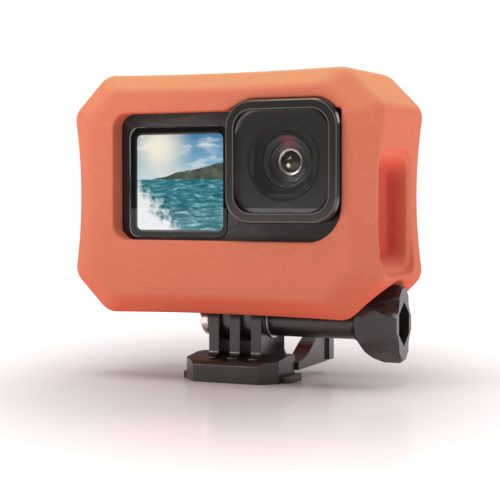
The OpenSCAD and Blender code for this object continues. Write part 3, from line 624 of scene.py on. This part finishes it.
# %% Floor
def build_floor():
    bm = bmesh.new()
    bmesh.ops.create_grid(bm, x_segments=1, y_segments=1, size=6)
    mesh = bpy.data.meshes.new("studio_floor")
    bm.to_mesh(mesh)
    bm.free()
    floor = bpy.data.objects.new("studio_floor", mesh)
    bpy.context.collection.objects.link(floor)
    pale, tree, shader = new_material("pale_floor", (0.9, 0.86, 0.87), 0.16, Specular_IOR_Level=0.5)
    grain = use_group(tree, "grain", object_space(tree), Grains_per_metre=800.0, Drift_per_metre=8.0)
    tone = mix_color(tree, grain["Tone"], (0.75, 0.725, 0.76), (0.77, 0.745, 0.78))
    oval = object_space(tree, vector_type="TEXTURE", Rotation=(0, 0, VIEW_AZIMUTH), Scale=(1, 2, 1))
    away = add(tree, "VectorMath", operation="LENGTH", Vector=oval)
    fade = stretch(tree, away.outputs["Value"], From_Min=0.0, From_Max=0.14,
                   interpolation_type="SMOOTHSTEP")
    glow = mix_color(tree, fade, (0.0, 0.0, 0.0), (1.0, 0.965, 0.975))
    fill(tree, shader, Base_Color=tone, Emission_Color=glow, Emission_Strength=0.9)
    mesh.materials.append(pale)


build_floor()
print("floor laid")

# %% [markdown]
# ## Modelling helpers
# New pieces are built in a bmesh, which is Blender's editable mesh in code. Nearly every piece here
# starts as one flat outline that faces the front, is rounded by a bevel of its corner vertices, and
# is then extruded or inset step by step. These helpers do those moves. When a bmesh becomes an
# object its normals are made to face outwards, so the tools needn't care which way they were drawn.


# %% Outline helpers
def round_corners(bm, verts, radius, segments):
    bmesh.ops.bevel(bm, geom=verts, offset=radius, offset_type="OFFSET", segments=segments,
                    profile=0.5, affect="VERTICES", material=-1)


def front_outline(width, height, radius, segments=8):
    """A bmesh with one face that looks towards -Y, centred at the origin, with round corners."""
    bm = bmesh.new()
    bmesh.ops.create_grid(bm, x_segments=1, y_segments=1, size=0.5,
                          matrix=Matrix.Rotation(math.radians(90), 4, "X"))
    bmesh.ops.scale(bm, vec=(width, 1, height), verts=bm.verts[:])
    if radius:
        round_corners(bm, bm.verts[:], radius, segments)
    return bm


def largest_face(bm):
    return max(bm.faces, key=lambda face: face.calc_area())


def push(bm, face, move, scale=1.0):
    """Extrudes a face by move, scales the new end about the Y axis, and returns the new end."""
    closed = any(len(edge.link_faces) > 1 for edge in face.edges)
    made = bmesh.ops.extrude_face_region(bm, geom=[face])["geom"]
    verts = [item for item in made if isinstance(item, bmesh.types.BMVert)]
    end = [item for item in made if isinstance(item, bmesh.types.BMFace)][0]
    if closed:
        bmesh.ops.delete(bm, geom=[face], context="FACES_ONLY")
    bmesh.ops.translate(bm, verts=verts, vec=move)
    bmesh.ops.scale(bm, vec=scale if isinstance(scale, tuple) else (scale, 1, scale), verts=verts)
    return end


def step_in(bm, face, steps):
    """Insets a face again and again. Each step is (distance inwards, distance out along the normal)."""
    for inwards, outwards in steps:
        bmesh.ops.inset_region(bm, faces=[face], thickness=inwards, depth=outwards, use_even_offset=True)


def move_to(bm, place):
    bmesh.ops.translate(bm, verts=bm.verts[:], vec=place)


def rounded(profile, radius, points=3):
    """Rounds every inner corner of a profile with a short arc of chords."""
    result = [profile[0]]
    for before, corner, after in zip(profile, profile[1:], profile[2:]):
        here = Vector(corner)
        start = Vector(before) - here
        end = Vector(after) - here
        reach = min(radius, start.length * 0.4, end.length * 0.4)
        first, last = here + start.normalized() * reach, here + end.normalized() * reach
        for index in range(points + 1):
            share = index / points
            bend = first * (1 - share) ** 2 + here * 2 * share * (1 - share) + last * share ** 2
            result.append(tuple(bend))
    result.append(profile[-1])
    return result


# %% Finishing helpers
def to_object(name, bm, finish, smooth_angle=35):
    """Makes the bmesh an object at the origin, smooth except where faces meet sharply."""
    bmesh.ops.remove_doubles(bm, verts=bm.verts[:], dist=0.002 * MM)
    bmesh.ops.recalc_face_normals(bm, faces=bm.faces[:])
    for face in bm.faces:
        face.smooth = True
    for edge in bm.edges:
        edge.smooth = edge.calc_face_angle(0) < math.radians(smooth_angle)
    mesh = bpy.data.meshes.new(name)
    bm.to_mesh(mesh)
    bm.free()
    mesh.materials.append(finish)
    made = bpy.data.objects.new(name, mesh)
    bpy.context.collection.objects.link(made)
    return made


def place_piece(made, body, slot, *nodes):
    """Says which body a piece rides on and which CAD nodes it stands for. The slot argument is not used."""
    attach(made, body)
    if nodes:
        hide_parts(*nodes)
    print(made.name, "has", len(made.data.polygons), "faces")


# %% [markdown]
# ## Even highlights
# Smooth shading averages the directions of neighbouring faces, and on a rounded edge that bends the
# light on the big flat face beside it. Weighted normals let the large faces keep their own
# direction, so flat stays flat and only the rounding looks round.


# %% Weighted normals
def read_back(made):
    """Gives the object its own mesh with its modifiers applied."""
    graph = bpy.context.evaluated_depsgraph_get()
    mesh = bpy.data.meshes.new_from_object(made.evaluated_get(graph))
    made.modifiers.clear()
    old = made.data
    made.data = mesh
    bpy.data.meshes.remove(old)
    mesh.name = made.name


def even_normals(made):
    weigh = made.modifiers.new("weigh", "WEIGHTED_NORMAL")
    weigh.keep_sharp = True
    weigh.weight = 60
    read_back(made)
    return made


# %% [markdown]
# ## The foam float
# The float is one block of foam. From the front it is an octagon whose long sides curve gently
# inwards, and its front and back edges are cut off by wide bevels. It could be sculpted, but it is
# a designed shape, so an outline is pushed through a rounded profile of sizes and depths. The
# window, the pocket, the holes and the room for the mount are then carved with booleans, and the
# whole is remeshed with small voxels and relaxed, which gives every edge foam's soft rounding.


# %% Float block
def curve_sides_in(bm, half_width, half_height):
    """Cuts the four long sides into short lengths and moves them in along a parabola."""
    long_edges = [edge for edge in bm.edges if edge.calc_length() > 2 * FLOAT_CORNER]
    bmesh.ops.subdivide_edges(bm, edges=long_edges, cuts=15)
    for vert in bm.verts:
        x, z = vert.co.x, vert.co.z
        if abs(abs(x) - half_width) < 0.01 * MM:
            share = z / (half_height - FLOAT_CORNER)
            vert.co.x -= math.copysign(FLOAT_SIDE_WAIST * (1 - share * share), x)
        elif abs(abs(z) - half_height) < 0.01 * MM:
            share = x / (half_width - FLOAT_CORNER)
            vert.co.z -= math.copysign(FLOAT_TOP_WAIST * (1 - share * share), z)


def build_float_block():
    half_width = (float_high.x - float_low.x) / 2
    half_height = (float_high.z - float_low.z) / 2
    bm = front_outline(2 * half_width, 2 * half_height, FLOAT_CORNER, segments=1)
    corner_points = [vert.co.copy() for vert in bm.verts]
    curve_sides_in(bm, half_width, half_height)
    corners = [vert for vert in bm.verts
               if any((vert.co - point).length < 0.01 * MM for point in corner_points)]
    round_corners(bm, corners, 2.2 * MM, 5)
    inner, narrow = 0.7 * half_height, FLOAT_BEVEL_SCALE * half_height
    profile = [(inner, float_high.y), (narrow, float_high.y), (half_height, RIDGE_BACK),
               (half_height, RIDGE_FRONT), (narrow, float_low.y), (inner, float_low.y)]
    rings = rounded(profile, 1.5 * MM, 5)
    bmesh.ops.scale(bm, vec=(inner / half_height, 1, inner / half_height), verts=bm.verts[:])
    move_to(bm, (0, float_high.y, 0))
    face = largest_face(bm)
    for before, after in zip(rings, rings[1:]):
        face = push(bm, face, (0, after[1] - before[1], 0), after[0] / before[0])
    move_to(bm, ((float_low.x + float_high.x) / 2, 0, (float_low.z + float_high.z) / 2))
    return bm


# %% [markdown]
# ### Carving tools
# Each cut is its own small solid. The front window is low over the screen and steps up around the
# lens frame on a slant, so its tool is two overlapping outlines. On the lens side it is a little
# narrower than the frame, because soft foam hugs what it is pushed over. The pocket in the right side
# has sloping ends and a shallow rim, and the holes over the buttons open outwards like a funnel.


# %% Carving tools
def tube_of(outline_steps, turn, place):
    """A solid through outlines of (distance, width, height), turned and placed. The first is rounded."""
    start, width, height, radius = outline_steps[0]
    bm = front_outline(width, height, radius, 6)
    move_to(bm, (0, -start, 0))
    face = largest_face(bm)
    for before, after in zip(outline_steps, outline_steps[1:]):
        face = push(bm, face, (0, before[0] - after[0], 0), (after[1] / before[1], 1, after[2] / before[2]))
    bmesh.ops.transform(bm, matrix=Matrix.Translation(place) @ turn, verts=bm.verts[:])
    return bm


def rod_tool(radius_1, radius_2, start, end, aside=0, above=0):
    """A cylinder or cone from start to end, on the thumbscrew's axis or beside and above it."""
    bm = bmesh.new()
    along = Matrix.Rotation(math.radians(90), 4, "Y")
    bmesh.ops.create_cone(bm, cap_ends=True, segments=48, radius1=radius_1, radius2=radius_2,
                          depth=end - start, matrix=Matrix.Translation(((start + end) / 2, 0, 0)) @ along)
    move_to(bm, (0, aside, AXIS_Z + above))
    return bm


FACING_BACK = Matrix.Rotation(math.radians(180), 4, "Z")
FACING_RIGHT = Matrix.Rotation(math.radians(90), 4, "Z")
FACING_LEFT = Matrix.Rotation(math.radians(-90), 4, "Z")
FACING_UP = Matrix.Rotation(math.radians(-90), 4, "X")


def body_room():
    bm = front_outline(body_span.x, body_span.z, 5.5 * MM)
    push(bm, largest_face(bm), (0, body_front - shell_high.y, 0))
    move_to(bm, body_back)
    return bm


def window_tools():
    """The lower, wide part of the front window, and the part around the lens frame."""
    pane_low, pane_high = low("front_display_glass"), high("front_display_glass")
    cover_low, cover_high = low("lens_cover_frame"), high("lens_cover_frame")
    front, back = float_low.y - 2 * MM, body_front + 1 * MM
    left, right = pane_low.x - 2.1 * MM, cover_high.x - 0.3 * MM
    bottom, top = pane_low.z - 0.5 * MM, pane_high.z + 3.4 * MM
    crown = cover_high.z + 0.25 * MM
    wide = front_outline(right - left, top - bottom, 0)
    radii = (4.2 * MM, 9.0 * MM, 4.2 * MM, 0.5 * MM)
    for vert, radius in zip(list(wide.verts), radii):
        round_corners(wide, [vert], radius, 10)
    move_to(wide, ((left + right) / 2, back, (bottom + top) / 2))
    push(wide, largest_face(wide), (0, front - back, 0))

    start = cover_low.x - 0.8 * MM
    floor = cover_low.z + 9 * MM
    tall = front_outline(right - start, crown - floor, 0)
    top_right = max(tall.verts, key=lambda vert: vert.co.x + vert.co.z)
    round_corners(tall, [top_right], COVER_CORNER, 10)
    move_to(tall, ((start + right) / 2, back, (floor + crown) / 2))
    slant = Vector((top - crown, 0, COVER_CORNER)).normalized()
    bmesh.ops.bisect_plane(tall, geom=tall.verts[:] + tall.edges[:] + tall.faces[:], clear_outer=True,
                           plane_co=(start, 0, top), plane_no=slant)
    push(tall, largest_face(tall), (0, front - back, 0))
    return wide, tall


def rear_window_tool():
    width, height = body_span.x - 7 * MM, body_span.z - 7 * MM
    depth = float_high.y - shell_high.y
    steps = ((-1 * MM, width, height, 5 * MM), (depth - 3 * MM, width, height),
             (depth + 2 * MM, width + 8 * MM, height + 8 * MM))
    return tube_of(steps, FACING_BACK, body_back)


def pocket_tools():
    """The sloping pocket in the right side, and the shallow rim around its mouth."""
    slope = ((-5.3 * MM, 19.6 * MM, 20.8 * MM, 3.2 * MM), (-0.5 * MM, 20.2 * MM, 29.0 * MM),
             (3 * MM, POCKET_WIDTH, POCKET_HEIGHT))
    rim = ((-0.45 * MM, 22.6 * MM, 31.4 * MM, 4.6 * MM), (3 * MM, 23.4 * MM, 32.4 * MM))
    return tube_of(slope, FACING_RIGHT, POCKET_AT), tube_of(rim, FACING_RIGHT, POCKET_AT)


def button_hole_tools():
    over, beside = middle("shutter_button"), middle("mode_button")
    roof, side = float_high.z - FLOAT_TOP_WAIST, float_low.x + FLOAT_SIDE_WAIST
    tall, wide = roof - shell_high.z, shell_low.x - side
    up_steps = ((-1 * MM, 20 * MM, 15 * MM, 7.4 * MM), (tall - 2 * MM, 20 * MM, 15 * MM),
                (tall + 1.5 * MM, 24.5 * MM, 19.5 * MM))
    out_steps = ((-1 * MM, 12.4 * MM, 17 * MM, 6.1 * MM), (wide - 2 * MM, 12.4 * MM, 17 * MM),
                 (wide + 1.5 * MM, 16.4 * MM, 21 * MM))
    return (tube_of(up_steps, FACING_UP, (over.x, 0, shell_high.z)),
            tube_of(out_steps, FACING_LEFT, (shell_low.x, 0, beside.z)))


def mount_room_tools():
    """Room for the buckle's fingers, the thumbscrew's neck and its knob."""
    fingers_low, fingers_high = low("thumbscrew_nut"), high("thumbscrew_washer")
    left, right = fingers_low.x - 1.2 * MM, fingers_high.x + 2.6 * MM
    deep, below = 9.5 * MM, 12 * MM
    room = front_outline(right - left, shell_low.z - AXIS_Z + below, 0)
    push(room, largest_face(room), (0, -2 * deep, 0))
    move_to(room, ((left + right) / 2, deep, (shell_low.z + AXIS_Z - below) / 2))
    flare_start, flare_end = 29 * MM, 35 * MM
    neck_room, knob_room = 5.3 * MM, 11 * MM
    neck = rod_tool(neck_room, neck_room, 0, flare_start + 1 * MM)
    cone = rod_tool(neck_room, knob_room, flare_start, flare_end)
    knob = rod_tool(knob_room, knob_room, flare_end - 0.01 * MM, float_high.x + 4 * MM)
    return room, neck, cone, knob


# %% [markdown]
# ### Carving and softening
# A boolean modifier takes one tool away from the block. All the tools are used one after the other,
# each result is read back as a plain mesh, and the tools are then deleted. The voxel remesh makes
# an even skin of small quads, and a few rounds of smoothing round the cut edges like sliced foam.


# %% Carve the float
def carve(made, tools):
    for number, bm in enumerate(tools):
        tool = to_object("tool_%d" % number, bm, foam_finish)
        cut = made.modifiers.new("cut", "BOOLEAN")
        cut.operation = "DIFFERENCE"
        cut.solver = "EXACT"
        cut.object = tool
        read_back(made)
        mesh = tool.data
        bpy.data.objects.remove(tool)
        bpy.data.meshes.remove(mesh)


def build_float():
    foam = to_object("foam_float", build_float_block(), foam_finish)
    tools = [body_room(), *window_tools(), rear_window_tool(), *pocket_tools(), *button_hole_tools(),
             *mount_room_tools()]
    carve(foam, tools)
    skin = foam.modifiers.new("skin", "REMESH")
    skin.mode = "VOXEL"
    skin.voxel_size = 0.45 * MM
    skin.use_smooth_shade = True
    read_back(foam)
    soften = foam.modifiers.new("soften", "SMOOTH")
    soften.factor = 0.5
    soften.iterations = 3
    read_back(foam)
    foam.data.polygons.foreach_set("use_smooth", [True] * len(foam.data.polygons))
    foam.data.materials.clear()
    foam.data.materials.append(foam_finish)
    return foam


foam_float = build_float()
place_piece(foam_float, "camera", "foam", "float_body")

# %% [markdown]
# ## Moulded edges
# No moulded or machined edge is truly sharp, and it is the thin highlight on a rounded edge that
# makes a part look real. Pieces whose CAD shape is already right get only that: a copy of the CAD
# mesh is merged, its flat faces are joined up, and a bevel rounds every edge sharper than a limit.


# %% Rounded copies of CAD pieces
def softened(node, width, limit=28):
    solid = frame["nodes"][node]
    bm = bmesh.new()
    bm.from_mesh(solid.data)
    bmesh.ops.remove_doubles(bm, verts=bm.verts[:], dist=0.003 * MM)
    bmesh.ops.dissolve_limit(bm, angle_limit=math.radians(0.6), verts=bm.verts[:], edges=bm.edges[:])
    sharp = [edge for edge in bm.edges
             if edge.is_manifold and edge.calc_face_angle(0) > math.radians(limit)]
    bmesh.ops.bevel(bm, geom=sharp, offset=width, offset_type="OFFSET", segments=3, profile=0.5,
                    affect="EDGES", clamp_overlap=True, material=-1)
    return even_normals(to_object(node + "_moulded", bm, solid.material_slots[0].material, 40))


MOULDED = (
    ("buckle_base", "buckle", "mount_black", 0.7),
    ("buckle_clip_left", "clip_left", "mount_black", 0.4),
    ("buckle_clip_right", "clip_right", "mount_black", 0.4),
    ("mounting_finger_left", "camera", "mount_black", 0.3),
    ("mounting_finger_right", "camera", "mount_black", 0.3),
    ("thumbscrew_nut", "buckle", "nut_steel", 0.25),
    ("camera_front_shell", "camera", "case", 0.35),
    ("camera_rear_shell", "camera", "case", 0.35),
    ("battery_door", "camera", "case", 0.25),
    ("mode_button", "mode", "case", 0.35),
    ("shutter_button", "shutter", "case", 0.4),
    ("rear_touch_glass", "camera", "screen_glass", 0.25),
    ("thumbscrew_washer", "washer", "steel", 0.15),
    ("front_display_glass", "camera", "screen_glass", 0.22),
)
for node, body, slot, width in MOULDED:
    place_piece(softened(node, width * MM), body, slot, node)


# %% [markdown]
# ## The thumbscrew's knob
# The knob has two wings with scooped faces for a thumb and a finger, and a long hexagonal hollow in
# its end that takes a wrench. Its outline comes from the CAD piece; the scoops are cones taken away
# along the axis, so each one starts as an arch near the neck and widens towards the end.


# %% Knob
def build_knob():
    knob = softened("thumbscrew_knob", 0.55 * MM, 25)
    knob.name = knob.data.name = "wing_knob"
    end = high("thumbscrew_knob").x
    half = size("thumbscrew_knob").y / 2
    scoops = []
    for front in (-1, 1):
        for up in (-1, 1):
            scoops.append(rod_tool(4.2 * MM, 6.6 * MM, end - 11 * MM, end + 0.6 * MM,
                                   front * (half + 4.3 * MM), up * 6.6 * MM))
    carve(knob, scoops)
    rim = knob.modifiers.new("rounding", "BEVEL")
    rim.width = 0.3 * MM
    rim.segments = 2
    rim.limit_method = "ANGLE"
    rim.angle_limit = math.radians(40)
    return even_normals(knob)


place_piece(build_knob(), "thumbscrew", "mount_black", "thumbscrew_knob")


# %% [markdown]
# ## The lens cover
# The square cover is a thick frame with a soft outer edge, which steps back in small terraces down
# to the round lens. One outline is enough: it is extruded to the front, and then its front face is
# inset again and again. A last inset is given the round shape of the lens by moving its corners
# onto a circle, so the square recess flows into a round hole. Two fine raised lines, one along the
# outer edge and one round the glass, are pieces of their own, painted paler than the frame as a
# painted highlight of light caught on the edges.


# %% Lens cover frame
def onto_circle(face, radius):
    """Moves a face's corners straight out from the Y axis, or in, onto a circle."""
    for vert in face.verts:
        flat = Vector((vert.co.x, 0, vert.co.z))
        vert.co = flat.normalized() * radius + Vector((0, vert.co.y, 0))


def build_lens_cover():
    front, back = low("lens_cover_frame").y, high("lens_cover_frame").y
    side = size("lens_cover_frame").x
    foot, shoulder, face_side = side - 1.8 * MM, side - 0.55 * MM, side - 1.25 * MM
    bm = front_outline(foot, foot, COVER_CORNER - 0.9 * MM, 12)
    face = push(bm, largest_face(bm), (0, front + 1.15 * MM - back, 0), side / foot)
    face = push(bm, face, (0, -0.75 * MM, 0), shoulder / side)
    face = push(bm, face, (0, -0.25 * MM, 0), face_side / shoulder)
    bmesh.ops.recalc_face_normals(bm, faces=bm.faces[:])
    rim = (face_side - size("lens_cover_glass").x) / 2 - 0.05 * MM
    seat = ((rim, 0), (0.02 * MM, -0.62 * MM - size("lens_cover_glass").y))
    terrace = ((0.55 * MM, 0), (0.05 * MM, -0.2 * MM))
    step_in(bm, face, seat + terrace + terrace)
    hole = size("lens_barrel").x / 2 + 0.15 * MM
    step_in(bm, face, ((0.4 * MM, 0),))
    onto_circle(face, hole)
    bmesh.ops.delete(bm, geom=[face], context="FACES_ONLY")
    rear = largest_face(bm)
    hole_edges = [edge for edge in bm.edges if len(edge.link_faces) == 1]
    step_in(bm, rear, ((3 * MM, 0),))
    onto_circle(rear, hole)
    rear_edges = list(rear.edges)
    bmesh.ops.delete(bm, geom=[rear], context="FACES_ONLY")
    bmesh.ops.bridge_loops(bm, edges=hole_edges + rear_edges)
    move_to(bm, (lens_at.x, back, lens_at.z))
    return even_normals(to_object("lens_cover", bm, gloss_finish, 25))


def build_cover_line(name, inwards, corner, behind):
    """A fine line on the front of the cover, a little way in from its edge and behind its foremost point.
    Its paler finish is a painted highlight.
    """
    width, depth = 0.2 * MM, 0.25 * MM
    side = size("lens_cover_frame").x - 2 * inwards
    bm = front_outline(side, side, corner, 12)
    face = largest_face(bm)
    bmesh.ops.inset_region(bm, faces=[face], thickness=width, depth=0, use_even_offset=True,
                           use_boundary=True)
    bmesh.ops.delete(bm, geom=[face], context="FACES_ONLY")
    made = bmesh.ops.extrude_face_region(bm, geom=bm.faces[:])["geom"]
    bmesh.ops.translate(bm, verts=[item for item in made if isinstance(item, bmesh.types.BMVert)],
                        vec=(0, -depth, 0))
    move_to(bm, (lens_at.x, low("lens_cover_frame").y + behind + depth, lens_at.z))
    place_piece(to_object(name, bm, highlight_line_finish, 25), "camera", "gloss_black")


place_piece(build_lens_cover(), "camera", "gloss_black", "lens_cover_frame")
build_cover_line("cover_outer_line", 0.45 * MM, 6.8 * MM, 0.12 * MM)
build_cover_line("cover_inner_line", 2.35 * MM, 5.2 * MM, 0.05 * MM)


# %% [markdown]
# ## The lens
# Looking into a lens, one sees ring behind ring. There is a stepped cone with fine grooves that stop
# stray light, a black ring with the domed first element in it, and deeper down a bright metal ring
# round the small second element. All of them are round, so each is a half profile of (radius,
# distance) pairs that is spun a full turn around the lens's axis.


# %% Lens parts
def turned(name, profile, finish, steps=96):
    """A round piece from a profile of (radius, distance along Y), spun around the lens's axis."""
    bm = bmesh.new()
    verts = [bm.verts.new((0, distance, radius)) for radius, distance in profile]
    for first, second in zip(verts, verts[1:]):
        bm.edges.new((first, second))
    bmesh.ops.spin(bm, geom=bm.verts[:] + bm.edges[:], cent=(0, 0, 0), axis=(0, 1, 0),
                   angle=math.radians(360), steps=steps, use_merge=True)
    move_to(bm, (lens_at.x, 0, lens_at.z))
    return to_object(name, bm, finish, 30)


def build_barrel():
    mouth, back = low("lens_barrel").y, high("lens_barrel").y
    seat = high("lens_trim_ring").y
    outer, trim = size("lens_barrel").x / 2, size("lens_trim_ring").x / 2 + 0.05 * MM
    inner = 4.1 * MM
    profile = [(inner, back), (outer, back), (outer, mouth + 0.25 * MM), (outer - 0.25 * MM, mouth)]
    grooves = 6
    for index in range(grooves):
        radius = outer - 0.7 * MM - (outer - 1.4 * MM - trim) * index / grooves
        depth = mouth + 0.15 * MM + 2.1 * MM * index / grooves
        profile += [(radius, depth), (radius - 0.12 * MM, depth + 0.3 * MM)]
    profile += [(trim + 0.25 * MM, mouth + 2.6 * MM), (trim, mouth + 2.8 * MM), (trim, seat),
                (inner, seat), (inner, back)]
    return turned("lens_tube", profile, barrel_finish)


def build_trim_ring():
    front, back = low("lens_trim_ring").y, high("lens_trim_ring").y
    outer = size("lens_trim_ring").x / 2
    inner = 3.4 * MM
    profile = [(inner, back), (outer, back), (outer, front + 0.1 * MM), (outer - 0.3 * MM, front),
               (outer - 1.1 * MM, front + 0.1 * MM), (outer - 1.3 * MM, front + 0.4 * MM),
               (outer - 1.65 * MM, front + 0.5 * MM), (outer - 1.75 * MM, front + 1.35 * MM),
               (outer - 2.7 * MM, back - 0.15 * MM), (inner, back - 0.1 * MM), (inner, back)]
    return turned("lens_ring", rounded(profile, 0.1 * MM), ring_finish)


def build_bright_ring():
    """The bevelled metal ring that holds the second element."""
    back = low("lens_front_element").y + 1.1 * MM
    outer, inner = 3.4 * MM, 2.75 * MM
    profile = [(inner, back), (outer, back), (outer, back - 0.75 * MM),
               (outer - 0.1 * MM, back - 0.85 * MM), (inner + 0.12 * MM, back - 0.7 * MM),
               (inner, back - 0.5 * MM), (inner, back)]
    return turned("lens_bright_ring", profile, steel_finish)


def dome(name, radius, apex, rise, finish):
    """A lens element: a thin shallow dome that falls back by the rise from its apex to its edge."""
    thick = 0.3 * MM
    steps = 14
    ball = (radius * radius + rise * rise) / (2 * rise)
    angles = [math.asin(radius / ball) * index / steps for index in range(steps + 1)]
    front = [(ball * math.sin(angle), apex + ball * (1 - math.cos(angle))) for angle in angles]
    profile = front + [(radius, distance + thick) for radius, distance in reversed(front)]
    return turned(name, profile, finish, 64)


glass_front = low("lens_front_element").y
place_piece(build_barrel(), "camera", "gloss_black", "lens_barrel")
place_piece(build_trim_ring(), "camera", "gloss_black", "lens_trim_ring")
place_piece(build_bright_ring(), "camera", "steel")
place_piece(dome("lens_first_element", 5.25 * MM, glass_front - 0.75 * MM, 1.0 * MM, lens_glass_finish),
            "camera", "lens_glass", "lens_front_element")
place_piece(dome("lens_second_element", 2.7 * MM, glass_front + 0.75 * MM, 0.9 * MM, inner_lens_finish),
            "camera", "lens_glass")
